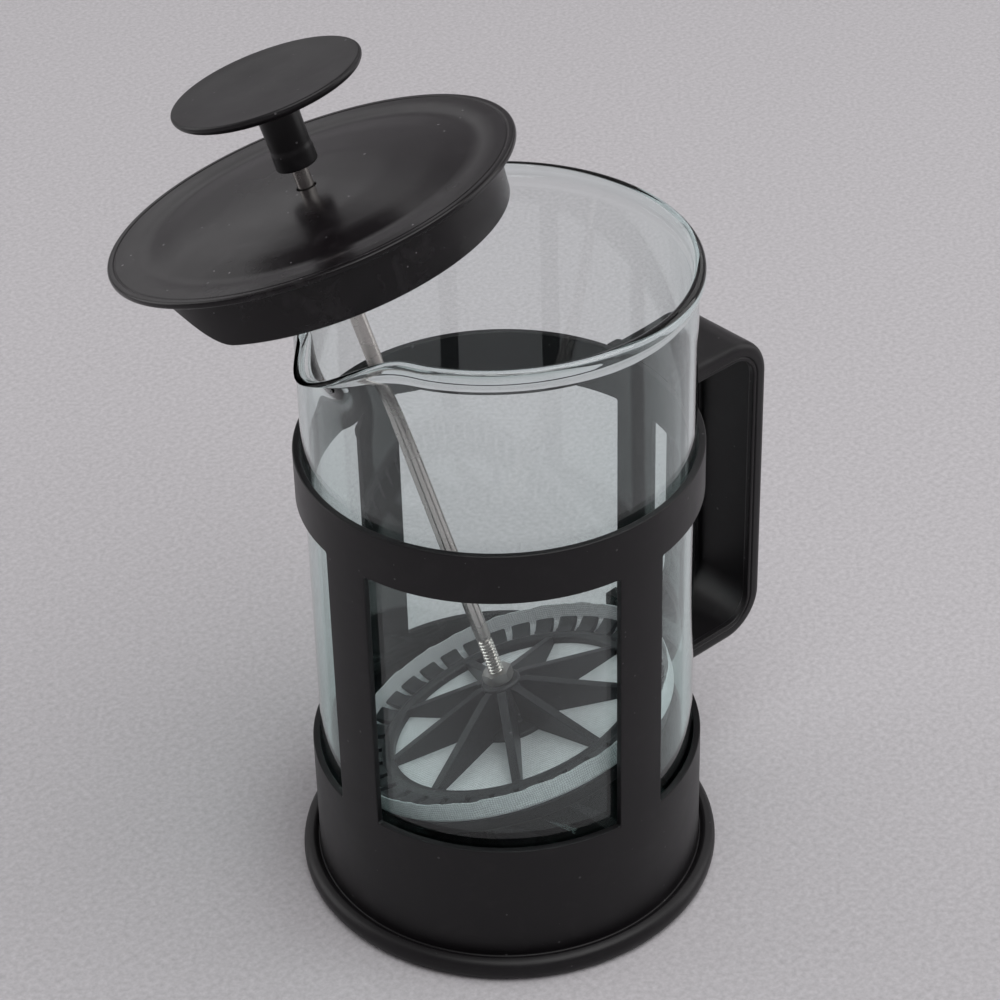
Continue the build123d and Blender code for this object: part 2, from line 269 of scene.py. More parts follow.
def soften(bm, edges, offset, segments=2):
    """Rounds edges off."""
    bmesh.ops.bevel(
        bm, geom=edges, offset=offset * MM, affect="EDGES", segments=segments, profile=0.5, material=-1
    )


def sharp_edges(bm, limit, test):
    """Edges that turn by more than a limit in degrees and pass a test."""
    turns = [e for e in bm.edges if len(e.link_faces) == 2 and e.calc_face_angle(0) > radians(limit)]
    return [e for e in turns if test(e)]


def made_since(bm, before):
    """Vertices that were added after a set of vertices was noted."""
    return [v for v in bm.verts if v not in before]


def block(bm, low, high, cuts=0):
    """A box between two corners in millimetres, cut along Y into strips."""
    size = Vector(high) - Vector(low)
    middle = (Vector(high) + Vector(low)) / 2
    before = set(bm.verts)
    place = Matrix.Translation(middle * MM) @ Matrix.Diagonal((*size * MM, 1))
    made = bmesh.ops.create_cube(bm, size=1, matrix=place)
    edges = unique(e for v in made["verts"] for e in v.link_edges)
    along = [e for e in edges if abs(e.verts[0].co.y - e.verts[1].co.y) > 1e-6]
    if cuts:
        bmesh.ops.subdivide_edges(bm, edges=along, cuts=cuts, use_grid_fill=True)
    return made_since(bm, before)


def spread(bm, verts, count, first=0.0):
    """Repeats the geometry of some vertices evenly about Z."""
    faces = unique(f for v in verts for f in v.link_faces)
    bmesh.ops.rotate(bm, verts=verts, cent=(0, 0, 0), matrix=Matrix.Rotation(first, 3, "Z"))
    for index in range(1, count):
        copy = bmesh.ops.duplicate(bm, geom=faces)["geom"]
        moved = [g for g in copy if isinstance(g, bmesh.types.BMVert)]
        bmesh.ops.rotate(
            bm, verts=moved, cent=(0, 0, 0), matrix=Matrix.Rotation(index * 2 * pi / count, 3, "Z")
        )


def azimuth_from(vert, centre):
    """Angle of a vertex about Z from a centre direction, between -pi and pi."""
    return (atan2(vert.co.y, vert.co.x) - centre + pi) % (2 * pi) - pi


def towards(azimuth, elevation):
    """A unit vector that points along an azimuth and up by an elevation."""
    level = cos(elevation)
    return Vector((level * cos(azimuth), level * sin(azimuth), sin(elevation)))


def plunger_matrix():
    """Places what is modelled upright on the rod's axis in the leaning plunger."""
    sizes = bpy.context.scene.press_plunger
    direction = Matrix.Rotation(sizes.lean_azimuth, 4, "Z")
    lean = Matrix.Rotation(sizes.lean, 4, "Y")
    return Matrix.Translation(Vector(PLUNGER_FOOT) * MM) @ direction @ lean @ direction.inverted()


def finish_piece(bm, name, body, slot, material, *nodes, matrix=None):
    """Turns a bmesh into a piece that rides on a body, stands for CAD nodes and has its finish."""
    bmesh.ops.recalc_face_normals(bm, faces=bm.faces[:])
    for face in bm.faces:
        face.smooth = True
    mesh = bpy.data.meshes.new(name)
    bm.to_mesh(mesh)
    bm.free()
    mesh.set_sharp_from_angle(angle=SMOOTH_BELOW)
    if matrix:
        mesh.transform(matrix)
    mesh.materials.append(material)
    piece = bpy.data.objects.new(name, mesh)
    bpy.context.scene.collection.objects.link(piece)
    shading = piece.modifiers.new("Shading", "WEIGHTED_NORMAL")
    shading.keep_sharp = True
    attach(piece, body)
    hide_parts(*nodes)
    return piece


# Helpers for materials


def add_node(tree, kind, inputs=None, **settings):
    """Adds a node. An input given as another node's output is linked, any other is set."""
    node = tree.nodes.new(kind)
    for name, value in settings.items():
        setattr(node, name, value)
    for socket, value in (inputs or {}).items():
        if isinstance(value, bpy.types.NodeSocket):
            tree.links.new(value, node.inputs[socket])
        else:
            node.inputs[socket].default_value = value
    return node


def new_material(name):
    """A new material with an empty node tree."""
    material = bpy.data.materials.new(name)
    material.use_nodes = True
    material.node_tree.nodes.clear()
    return material, material.node_tree


def per_metre(size_mm):
    """Texture scale for a feature of a real size."""
    return 1 / (size_mm * MM)


def moulded_plastic(part, base, gloss, wear):
    """Polypropylene, injection moulded with a fine matt grain, which gives soft wide highlights.

    Handling leaves faint smears that change the gloss, and fine dust that catches the light.
    """
    dust = bpy.context.scene.press_finishes.dust
    material, tree = new_material(f"Polypropylene, moulded, {part}")
    place = add_node(tree, "ShaderNodeTexCoord").outputs["Object"]
    # The tool's grain is about 0.1 mm. It is drawn at 0.45 mm, the finest that shows.
    grain = add_node(tree, "ShaderNodeTexNoise", {"Vector": place, "Scale": per_metre(0.45), "Detail": 2.0})
    smear = add_node(
        tree, "ShaderNodeTexNoise", {"Vector": place, "Scale": per_metre(28), "Detail": 4.0, "Roughness": 0.6}
    )
    gloss_range = add_node(
        tree,
        "ShaderNodeMapRange",
        {
            "Value": smear.outputs["Fac"],
            "From Min": 0.3,
            "From Max": 0.7,
            "To Min": gloss - 0.04,
            "To Max": gloss + 0.06,
        },
    )
    # Specks of dust lie about 2.6 mm apart, and the larger a cell's random value, the larger its speck.
    cells = add_node(tree, "ShaderNodeTexVoronoi", {"Vector": place, "Scale": per_metre(2.6)})
    speck_size = add_node(
        tree,
        "ShaderNodeMapRange",
        {"Value": cells.outputs["Color"], "From Min": 0.58, "To Max": 0.17},
    )
    speck = add_node(
        tree,
        "ShaderNodeMath",
        {0: cells.outputs["Distance"], 1: speck_size.outputs["Result"]},
        operation="LESS_THAN",
    )
    scuff_noise = add_node(
        tree,
        "ShaderNodeTexNoise",
        {"Vector": place, "Scale": per_metre(9), "Detail": 6.0, "Roughness": 0.7, "Distortion": 0.6},
    )
    scuff = add_node(
        tree,
        "ShaderNodeMapRange",
        {"Value": scuff_noise.outputs["Fac"], "From Min": 0.52, "From Max": 0.8, "To Max": 0.07 * wear},
    )
    marks = add_node(
        tree,
        "ShaderNodeMath",
        {0: speck.outputs["Value"], 1: 0.6 * wear, 2: scuff.outputs["Result"]},
        operation="MULTIPLY_ADD",
    )
    tint = add_node(
        tree, "ShaderNodeMix", {"Factor": marks.outputs["Value"], "A": base, "B": dust}, data_type="RGBA"
    )
    bump = add_node(
        tree, "ShaderNodeBump", {"Height": grain.outputs["Fac"], "Strength": 0.22, "Distance": 0.05 * MM}
    )
    shader = add_node(
        tree,
        "ShaderNodeBsdfPrincipled",
        {
            "Base Color": tint.outputs["Result"],
            "Roughness": gloss_range.outputs["Result"],
            "IOR": 1.49,
            "Specular IOR Level": 0.3,
            "Normal": bump.outputs["Normal"],
        },
    )
    add_node(tree, "ShaderNodeOutputMaterial", {"Surface": shader.outputs["BSDF"]})
    return material


def blown_glass(name, tint, glow):
    """Borosilicate glass, blown in a mould and fire-polished, clear with a sea-green edge.

    Light from lamps goes straight through it, so what stands inside is lit. The green light that the thick
    base leads up the wall is painted into the glass's colour as a painted glow, low down and where the wall
    is seen edge on.
    """
    material, tree = new_material(name)
    place = add_node(tree, "ShaderNodeTexCoord").outputs["Object"]
    height = add_node(tree, "ShaderNodeSeparateXYZ", {"Vector": place}).outputs["Z"]
    # Painted glow: green is mixed into the base colour where the wall is low and seen edge on, standing in
    # for light that the base leads up the glass
    low = add_node(
        tree,
        "ShaderNodeMapRange",
        {"Value": height, "From Min": 130 * MM, "From Max": 20 * MM, "To Min": 0.1},
    )
    edge_on = add_node(tree, "ShaderNodeLayerWeight", {"Blend": 0.4}).outputs["Facing"]
    green = add_node(tree, "ShaderNodeMath", {0: edge_on, 1: low.outputs["Result"]}, operation="MULTIPLY")
    shade = add_node(
        tree,
        "ShaderNodeMix",
        {"Factor": green.outputs["Value"], "A": linear("#ffffff"), "B": glow},
        data_type="RGBA",
    )
    shader = add_node(
        tree,
        "ShaderNodeBsdfPrincipled",
        {"Base Color": shade.outputs["Result"], "Roughness": 0.0, "IOR": 1.47, "Transmission Weight": 1.0},
    )
    clear = add_node(tree, "ShaderNodeBsdfTransparent", {"Color": linear("#f8faf9")})
    ray = add_node(tree, "ShaderNodeLightPath")
    mixed = add_node(
        tree,
        "ShaderNodeMixShader",
        {"Fac": ray.outputs["Is Shadow Ray"], 1: shader.outputs["BSDF"], 2: clear.outputs["BSDF"]},
    )
    edge = add_node(tree, "ShaderNodeVolumeAbsorption", {"Color": tint, "Density": 19.0})
    add_node(
        tree,
        "ShaderNodeOutputMaterial",
        {"Surface": mixed.outputs["Shader"], "Volume": edge.outputs["Volume"]},
    )
    return material


def drawn_steel(name, base, gloss, axis_matrix=None):
    """Stainless steel, drawn and lightly polished, bright with fine lines along its length."""
    material, tree = new_material(name)
    place = add_node(tree, "ShaderNodeTexCoord").outputs["Object"]
    turn = (axis_matrix or Matrix()).inverted().to_euler()
    along = add_node(
        tree, "ShaderNodeMapping", {"Vector": place, "Rotation": turn[:], "Scale": (1.0, 1.0, 0.03)}
    )
    # Drawing lines are a few hundredths of a millimetre apart, drawn at 0.4 mm so that they show.
    lines = add_node(
        tree,
        "ShaderNodeTexNoise",
        {"Vector": along.outputs["Vector"], "Scale": per_metre(0.4), "Detail": 3.0},
    )
    stain = add_node(tree, "ShaderNodeTexNoise", {"Vector": place, "Scale": per_metre(6), "Detail": 3.0})
    gloss_range = add_node(
        tree,
        "ShaderNodeMapRange",
        {
            "Value": stain.outputs["Fac"],
            "From Min": 0.35,
            "From Max": 0.7,
            "To Min": gloss,
            "To Max": gloss + 0.12,
        },
    )
    bump = add_node(
        tree, "ShaderNodeBump", {"Height": lines.outputs["Fac"], "Strength": 0.25, "Distance": 0.05 * MM}
    )
    shader = add_node(
        tree,
        "ShaderNodeBsdfPrincipled",
        {
            "Base Color": base,
            "Metallic": 1.0,
            "Roughness": gloss_range.outputs["Result"],
            "Normal": bump.outputs["Normal"],
        },
    )
    add_node(tree, "ShaderNodeOutputMaterial", {"Surface": shader.outputs["BSDF"]})
    return material


def woven_mesh(name, base, gap, spacing):
    """Stainless steel wire, plain woven, a pale grey cloth with dark gaps between its wires.

    So many fine round wires scatter light every way, so the cloth looks matt and takes no metallic.
    """
    material, tree = new_material(name)
    place = add_node(tree, "ShaderNodeUVMap", uv_map="weave").outputs["UV"]
    ripple = add_node(tree, "ShaderNodeTexNoise", {"Vector": place, "Scale": per_metre(5), "Detail": 2.0})
    bent = add_node(
        tree,
        "ShaderNodeVectorMath",
        {0: ripple.outputs["Color"], 1: (1.6 * MM,) * 3, 2: place},
        operation="MULTIPLY_ADD",
    )
    # A wave band repeats every pi / (10 * scale). Real wires are about 0.25 mm apart, too fine to show,
    # so they are drawn at the coarser spacing that is given.
    scale = pi / (10 * spacing)
    bands = [
        add_node(
            tree,
            "ShaderNodeTexWave",
            {"Vector": bent.outputs["Vector"], "Scale": scale},
            bands_direction=direction,
        ).outputs["Fac"]
        for direction in ("X", "Y")
    ]
    checks = add_node(tree, "ShaderNodeTexChecker", {"Vector": bent.outputs["Vector"], "Scale": 1 / spacing})
    over = add_node(tree, "ShaderNodeMix", {"Factor": checks.outputs["Fac"], "A": bands[0], "B": bands[1]})
    cloud = add_node(tree, "ShaderNodeTexNoise", {"Vector": place, "Scale": per_metre(1.4), "Detail": 3.0})
    height = add_node(
        tree, "ShaderNodeMix", {"Factor": 0.45, "A": over.outputs["Result"], "B": cloud.outputs["Fac"]}
    )
    shade = add_node(
        tree, "ShaderNodeMapRange", {"Value": height.outputs["Result"], "From Min": 0.2, "From Max": 0.75}
    )
    tint = add_node(
        tree, "ShaderNodeMix", {"Factor": shade.outputs["Result"], "A": gap, "B": base}, data_type="RGBA"
    )
    bump = add_node(
        tree, "ShaderNodeBump", {"Height": height.outputs["Result"], "Strength": 0.6, "Distance": 0.2 * MM}
    )
    shader = add_node(
        tree,
        "ShaderNodeBsdfPrincipled",
        {"Base Color": tint.outputs["Result"], "Roughness": 0.45, "Normal": bump.outputs["Normal"]},
    )
    add_node(tree, "ShaderNodeOutputMaterial", {"Surface": shader.outputs["BSDF"]})
    return material


def paper(name, base):
    """Uncoated background paper, flat and matt with a faint felt grain."""
    material, tree = new_material(name)
    place = add_node(tree, "ShaderNodeTexCoord").outputs["Object"]
    felt = add_node(
        tree,
        "ShaderNodeTexNoise",
        {"Vector": place, "Scale": per_metre(1.6), "Detail": 5.0, "Roughness": 0.65},
    )
    shade = add_node(
        tree,
        "ShaderNodeMapRange",
        {"Value": felt.outputs["Fac"], "From Min": 0.3, "From Max": 0.7, "To Min": 0.86, "To Max": 1.14},
    )
    tint = add_node(
        tree, "ShaderNodeVectorMath", {0: base[:3], 1: shade.outputs["Result"]}, operation="MULTIPLY"
    )
    bump = add_node(
        tree, "ShaderNodeBump", {"Height": felt.outputs["Fac"], "Strength": 0.2, "Distance": 0.1 * MM}
    )
    shader = add_node(
        tree,
        "ShaderNodeBsdfPrincipled",
        {
            "Base Color": tint.outputs["Vector"],
            "Roughness": 0.9,
            "Specular IOR Level": 0.2,
            "Normal": bump.outputs["Normal"],
        },
    )
    add_node(tree, "ShaderNodeOutputMaterial", {"Surface": shader.outputs["BSDF"]})
    return material


# Pieces


class PRESS_OT_holder(bpy.types.Operator):
    """Builds the holder: floor, foot bead, skirt, four pillars and band"""

    bl_idname = "press.holder"
    bl_label = "Holder"

    def execute(self, context):
        sizes = context.scene.press_holder
        finishes = context.scene.press_finishes
        outer = FRAME_INNER + sizes.wall / MM
        top = sizes.height / MM
        window_top = top - sizes.band_height / MM
        skirt = sizes.skirt_height / MM
        edge = sizes.edge / MM
        foot = outer + sizes.foot_reach / MM
        bead = sizes.foot_height / MM
        bm = bmesh.new()
        turned(
            bm,
            [
                (0, 1.2, 0),
                (30, 1.2, 0),
                (31, 0.5, 0.3),
                (33, 0.5, 0.3),
                (34, 1.2, 0),
                (46.5, 1.2, 0.3),
                (47.5, 0, 0.4),
                (foot, 0, bead * 0.42),
                (foot, bead, bead * 0.42),
                (outer + 1.3, bead, 0.7),
                (outer + 0.5, bead - 1.0, 0.3),
                (outer, bead - 0.7, 0.3),
                (outer, skirt, 0),
                (outer, window_top, 0),
                (outer, top, edge),
                (FRAME_INNER, top, edge),
                (FRAME_INNER, window_top, 0),
                (FRAME_INNER, skirt, 0),
                (FRAME_INNER, FLOOR, 1.0),
                (0, FLOOR, 0),
            ],
            closed=False,
        )
        self.cut_windows(bm, sizes, skirt, window_top)
        finish_piece(
            bm,
            "holder_shell",
            "holder",
            "holder_plastic",
            moulded_plastic("holder", finishes.holder, gloss=0.4, wear=0.35),
            "holder_frame",
        )
        return {"FINISHED"}

    def cut_windows(self, bm, sizes, low, high):
        """Opens the windows through both walls, closes their edges and rounds them."""
        half = sizes.pillar_angle / 2
        inside = []
        for face in bm.faces:
            middle = face.calc_center_median()
            off_pillar = abs((atan2(middle.y, middle.x) + pi / 4) % (pi / 2) - pi / 4)
            if low * MM < middle.z < high * MM and off_pillar > half:
                inside.append(face)
        bmesh.ops.delete(bm, geom=inside, context="FACES")
        for quarter in range(4):
            centre = quarter * pi / 2 + pi / 4
            border = [e for e in bm.edges if e.is_boundary and abs(azimuth_from(e.verts[0], centre)) < pi / 4]
            bmesh.ops.bridge_loops(bm, edges=border)
        bmesh.ops.recalc_face_normals(bm, faces=bm.faces[:])

        def radial(edge):
            a, b = (hypot(v.co.x, v.co.y) for v in edge.verts)
            return abs(abs(a - b) - sizes.wall) < 0.02 * MM and low - 1 < edge.verts[0].co.z / MM < high + 1

        soften(bm, sharp_edges(bm, 60, radial), sizes.window_corner / MM, segments=4)

        def rim(edge):
            return all(low - 0.01 < v.co.z / MM < high + 0.01 for v in edge.verts)

        soften(bm, sharp_edges(bm, 60, rim), 0.35)


class PRESS_OT_handle(bpy.types.Operator):
    """Builds the handle: a D of channel section with a fixing pad at each end"""

    bl_idname = "press.handle"
    bl_label = "Handle"

    def execute(self, context):
        sizes = context.scene.press_handle
        holder = context.scene.press_holder
        finishes = context.scene.press_finishes
        self.side = sizes.width / 2 / MM
        self.top = holder.height / MM
        self.face = FRAME_INNER + holder.wall / MM + 0.05
        foot = sizes.foot / MM
        band = holder.band_height / MM
        pad = sizes.lower_pad / MM
        bm = bmesh.new()
        self.sweep_channel(bm, sizes)
        self.add_pad(bm, self.top - band, self.top)
        self.add_pad(bm, foot, foot + pad)
        for height in (self.top - band / 2, foot + pad * 0.62):
            self.add_boss(bm, height)
        finish_piece(
            bm,
            "handle_channel",
            "holder",
            "handle_plastic",
            moulded_plastic("handle", finishes.holder, gloss=0.38, wear=0.35),
            "handle",
        )
        return {"FINISHED"}

    def sweep_channel(self, bm, sizes):
        """Sweeps the channel section round the D."""
        side, depth, wall = self.side, sizes.depth / MM, sizes.wall / MM
        start = self.face + 1
        half = [
            (side, 0, 2.0),
            (side, depth - 1.5, 0.15),
            (side - 0.45, depth - 1.2, 0.15),
            (side - 0.1, depth - 0.9, 0.15),
            (side - 0.1, depth, 0.4),
            (side - wall, depth, 0.7),
            (side - wall, wall, 0.8),
        ]
        section = half + [(-y, d, r) for y, d, r in reversed(half)]
        verts, edges = profile(bm, [(y, self.top - d, r) for y, d, r in section])
        for v in verts:
            v.co = Vector((start * MM, v.co.x, v.co.z))
        corner = sizes.corner
        bend_x = sizes.reach - corner
        high = sizes.foot + corner
        low = self.top * MM - corner
        edges = self.push(bm, edges, (bend_x - start * MM, 0, 0))
        edges = self.bend(bm, edges, (bend_x, 0, low))
        edges = self.push(bm, edges, (0, 0, high - low))
        edges = self.bend(bm, edges, (bend_x, 0, high))
        self.push(bm, edges, (start * MM - bend_x, 0, 0))
        bmesh.ops.holes_fill(bm, edges=[e for e in bm.edges if e.is_boundary], sides=0)

    def push(self, bm, edges, offset):
        """Draws the section on in a straight line."""
        made = bmesh.ops.extrude_edge_only(bm, edges=edges)["geom"]
        bmesh.ops.translate(bm, vec=offset, verts=[g for g in made if isinstance(g, bmesh.types.BMVert)])
        return [g for g in made if isinstance(g, bmesh.types.BMEdge)]

    def bend(self, bm, edges, centre):
        """Turns the section round a corner of the D."""
        section = unique(v for e in edges for v in e.verts) + edges
        made = bmesh.ops.spin(bm, geom=section, cent=centre, axis=(0, 1, 0), angle=pi / 2, steps=BEND_STEPS)
        return [g for g in made["geom_last"] if isinstance(g, bmesh.types.BMEdge)]

    def add_pad(self, bm, low, high):
        """A pad whose back fits round the holder."""
        pad_face = self.face + 3.2
        verts = block(bm, (self.face, -self.side, low), (pad_face, self.side, high), cuts=11)
        for v in verts:
            if v.co.x < (self.face + 0.1) * MM:
                v.co.x = self.face * MM * cos(v.co.y / (self.face * MM))
        own = set(verts)

        def front(edge):
            return set(edge.verts) <= own and min(v.co.x for v in edge.verts) > (self.face + 0.1) * MM

        soften(bm, sharp_edges(bm, 60, front), 0.7, segments=3)

    def add_boss(self, bm, height):
        """A screw boss, round along X."""
        place = Matrix.Translation(((self.face + 5.7) * MM, 0, height * MM)) @ Matrix.Rotation(pi / 2, 4, "Y")
        made = bmesh.ops.create_cone(
            bm, cap_ends=True, segments=32, radius1=3.4 * MM, radius2=3.2 * MM, depth=8 * MM, matrix=place
        )
        own = set(made["verts"])
        soften(bm, sharp_edges(bm, 60, lambda edge: set(edge.verts) <= own), 0.4)


class PRESS_OT_beaker(bpy.types.Operator):
    """Builds the glass beaker with its polished rim and pouring lip"""

    bl_idname = "press.beaker"
    bl_label = "Beaker"

    def execute(self, context):
        sizes = context.scene.press_beaker
        finishes = context.scene.press_finishes
        outer = sizes.radius / MM
        inner = outer - sizes.wall / MM
        top = sizes.top / MM
        bead = sizes.bead / MM
        middle = outer - sizes.wall / MM / 2 + sizes.flare / MM
        base = FLOOR + sizes.base / MM
        lip_start = top - sizes.lip_depth / MM
        neck = top - 3.4 * bead
        rings = [lip_start + (neck - lip_start) * step / LIP_RINGS for step in range(LIP_RINGS)]
        bm = bmesh.new()
        turned(
            bm,
            [
                (0, FLOOR + 1.0, 0),
                (34, FLOOR + 0.6, 0),
                (38, FLOOR, 1.0),
                (outer, FLOOR, 6.0),
                *((outer, height, 0) for height in rings),
                (outer, neck, 1.2),
                (middle + bead, top - 2.0 * bead, 0.6),
                (middle + bead, top, bead * 0.97),
                (middle - bead, top, bead * 0.97),
                (middle - bead, top - 2.0 * bead, 0.6),
                (inner, neck, 1.2),
                *((inner, height, 0) for height in reversed(rings)),
                (inner, base, 4.4),
                (0, base + 0.4, 0),
            ],
            closed=False,
            steps=GLASS_TURN_STEPS,
        )
        self.draw_lip(bm, sizes)
        piece = finish_piece(
            bm,
            "beaker_glass",
            "beaker",
            "borosilicate_glass",
            blown_glass("Borosilicate glass, blown", finishes.glass, finishes.glass_glow),
            "glass_beaker",
        )
        piece.modifiers.clear()
        return {"FINISHED"}

    def draw_lip(self, bm, sizes):
        """Pulls the pouring lip out and down from the rim at -X."""
        start = sizes.top - sizes.lip_depth
        for v in bm.verts:
            rise = min((v.co.z - start) / sizes.lip_depth, 1.0)
            away = abs(azimuth_from(v, pi)) / sizes.lip_spread
            if rise <= 0 or away >= 1:
                continue
            bell = (0.5 + 0.5 * cos(pi * away)) ** 1.7
            radius = hypot(v.co.x, v.co.y)
            pull = sizes.lip_reach * bell * rise**2.2
            # The sides of the lip are drawn in a little, as the glass is pinched while it is pulled.
            pinch = -1.6 * MM * sin(pi * away) ** 2 * rise**2
            factor = (radius + pull + pinch) / radius
            narrow = 1 - 0.25 * bell * rise**2
            v.co.x *= factor
            v.co.y *= factor * narrow
            v.co.z -= sizes.lip_drop * bell * rise**2


class PRESS_OT_lid(bpy.types.Operator):
    """Builds the lid: a domed disc with a raised border and a skirt with a pouring notch"""

    bl_idname = "press.lid"
    bl_label = "Lid"

    def execute(self, context):
        sizes = context.scene.press_lid
        plunger = context.scene.press_plunger
        finishes = context.scene.press_finishes
        hole = plunger.rod_radius / MM + 0.4
        radius = sizes.radius / MM
        rim = sizes.rim / MM
        under = rim - LID_THICKNESS
        border = radius - sizes.border / MM
        dome = sizes.dome / MM
        foot = rim - sizes.skirt / MM
        skirt = sizes.skirt_radius / MM
        socket = skirt - 1.0
        guide_foot = rim + dome - 5.8
        ledge = under - 1.2
        bm = bmesh.new()
        turned(
            bm,
            [
                (hole, rim + dome, 0.25),
                (hole + 4.6, rim + dome - 0.05, 0),
                (border * 0.45, rim + dome * 0.78, 2),
                (border * 0.75, rim + dome * 0.3, 2),
                (border - 2.6, rim - 0.5, 1.8),
                (border + 1.4, rim, 1.8),
                (radius - 2.2, rim - 0.02, 0.1),
                (radius - 1.9, rim - 0.18, 0.1),
                (radius - 1.6, rim, 0.2),
                (radius, rim, 0.7),
                (radius, under, 0.7),
                (skirt + 1.2, under, 0.4),
                (skirt + 0.8, ledge, 0),
                (skirt, foot, 0.5),
                (skirt - 1.8, foot, 0.5),
                (socket, ledge, 0),
                (socket, under, 0.5),
                (border - 1.4, under - 0.5, 0.5),
                (5.0, rim + dome - 1.9, 0.6),
                (4.8, guide_foot, 0.4),
                (hole, guide_foot, 0.25),
            ],
        )
        self.cut_notch(bm, sizes, foot * MM, ledge * MM)
        finish_piece(
            bm,
            "lid_cover",
            "lid",
            "lid_plastic",
            moulded_plastic("lid", finishes.lid, gloss=0.23, wear=1.0),
            "lid",
            matrix=plunger_matrix(),
        )
        return {"FINISHED"}

    def cut_notch(self, bm, sizes, foot, ledge):
        """Raises the skirt's foot over the pouring notch."""
        span = sizes.notch_mouth - sizes.notch_root
        for v in bm.verts:
            if hypot(v.co.x, v.co.y) < sizes.skirt_radius - 2.5 * MM or v.co.z > ledge + 0.01 * MM:
                continue
            away = abs(azimuth_from(v, sizes.notch_azimuth))
            lift = min(max((sizes.notch_mouth - away) / span, 0), 1)
            lift = lift * lift * (3 - 2 * lift)
            v.co.z += (ledge - v.co.z) * 0.96 * lift


class PRESS_OT_knob(bpy.types.Operator):
    """Builds the knob: a thin dished disc on a short stem"""

    bl_idname = "press.knob"
    bl_label = "Knob"

    def execute(self, context):
        sizes = context.scene.press_plunger
        finishes = context.scene.press_finishes
        radius = sizes.knob_radius / MM
        top = sizes.knob_top / MM
        foot = sizes.stem_foot / MM
        bore = sizes.rod_radius / MM + 0.05
        bm = bmesh.new()
        turned(
            bm,
            [
                (0, top - 0.9, 0),
                (radius * 0.5, top - 0.75, 2),
                (radius * 0.86, top - 0.3, 1.5),
                (radius - 0.3, top, 0.5),
                (radius, top - 1.0, 0.6),
                (radius - 0.9, top - 2.4, 0.8),
                (radius * 0.6, top - 3.0, 2),
                (6.0, top - 3.6, 1.2),
                (5.2, top - 6.0, 0.8),
                (4.95, foot + 5.0, 0.4),
                (5.15, foot + 4.2, 0.4),
                (5.2, foot, 0.5),
                (bore, foot, 0.2),
                (bore, foot + 9, 0),
                (0, foot + 9, 0),
            ],
            closed=False,
        )
        finish_piece(
            bm,
            "knob_moulding",
            "plunger",
            "knob_plastic",
            moulded_plastic("knob", finishes.holder, gloss=0.36, wear=0.6),
            "plunger_knob",
            matrix=plunger_matrix(),
        )
        return {"FINISHED"}


class PRESS_OT_rod(bpy.types.Operator):
    """Builds the rod with its thread and the lock nut"""

    bl_idname = "press.rod"
    bl_label = "Rod and nut"

    def execute(self, context):
        sizes = context.scene.press_plunger
        finishes = context.scene.press_finishes
        matrix = plunger_matrix()
        radius = sizes.rod_radius / MM
        root = radius - 0.5
        pitch = sizes.thread_pitch / MM
        low = sizes.hub_height / MM - 1
        high = sizes.thread_top / MM
        bm = bmesh.new()
        turned(
            bm,
            [
                (0, -4.3, 0),
                (radius - 0.1, -4.3, 0.3),
                (radius - 0.1, low, 0),
                (root, low, 0),
                (root, high - 0.6, 0),
                (radius, high, 0.2),
                (radius, sizes.rod_top / MM, 0.4),
                (0, sizes.rod_top / MM, 0),
            ],
            closed=False,
            steps=ROD_TURN_STEPS,
        )
        self.cut_thread(bm, root, radius, pitch, low, high)
        finish_piece(
            bm,
            "rod_steel_rod",
            "plunger",
            "rod_steel",
            drawn_steel("Stainless steel, drawn", finishes.steel, 0.2, matrix),
            "plunger_rod",
            matrix=matrix,
        )
        bm = bmesh.new()
        self.shape_nut(bm, sizes)
        finish_piece(
            bm,
            "nut_hexagon",
            "plunger",
            "nut_steel",
            drawn_steel("Steel, plated", finishes.plate, 0.3, matrix),
            "lock_nut",
            matrix=matrix,
        )
        return {"FINISHED"}

    def cut_thread(self, bm, root, radius, pitch, low, high):
        """Winds the thread's ridge up the rod."""
        ridge = [(root - 0.05, 0), (radius, pitch * 0.4), (radius, pitch * 0.52), (root - 0.05, pitch * 0.92)]
        verts = [bm.verts.new((x * MM, 0, (low + z) * MM)) for x, z in ridge]
        face = bm.faces.new(verts)
        turns = (high - low - 1) / pitch
        steps = int(turns * THREAD_TURN_STEPS)
        bmesh.ops.spin(
            bm,
            geom=verts + list(face.edges) + [face],
            cent=(0, 0, 0),
            axis=(0, 0, 1),
            dvec=(0, 0, pitch / THREAD_TURN_STEPS * MM),
            angle=steps * 2 * pi / THREAD_TURN_STEPS,
            steps=steps,
        )

    def shape_nut(self, bm, sizes):
        """A hexagon nut with chamfered corners."""
        flat = sizes.nut_flats / 2
        low = sizes.hub_height + 0.02 * MM
        place = Matrix.Translation((0, 0, low))
        loops = []
        for radius in (flat, sizes.rod_radius + 0.06 * MM):
            made = bmesh.ops.create_circle(bm, segments=ROD_TURN_STEPS, radius=radius, matrix=place)
            loops.append(made["verts"])
        for v in loops[0]:
            turn = (atan2(v.co.y, v.co.x) + pi / 6) % (pi / 3) - pi / 6
            v.co.x /= cos(turn)
            v.co.y /= cos(turn)
        edges = unique(e for loop in loops for v in loop for e in v.link_edges)
        faces = bmesh.ops.bridge_loops(bm, edges=edges)["faces"]
        made = bmesh.ops.extrude_face_region(bm, geom=faces, use_keep_orig=True)["geom"]
        raised = [g for g in made if isinstance(g, bmesh.types.BMVert)]
        bmesh.ops.translate(bm, vec=(0, 0, sizes.nut_height), verts=raised)
        ring = [f for f in bm.faces if abs(f.normal.z) > 0.9]
        bmesh.ops.inset_region(bm, faces=ring, thickness=0.35 * MM)
        for v in bm.verts:
            over = hypot(v.co.x, v.co.y) - flat
            if over > 0:
                drop = over * tan(radians(30))
                v.co.z += drop if v.co.z < low + sizes.nut_height / 2 else -drop


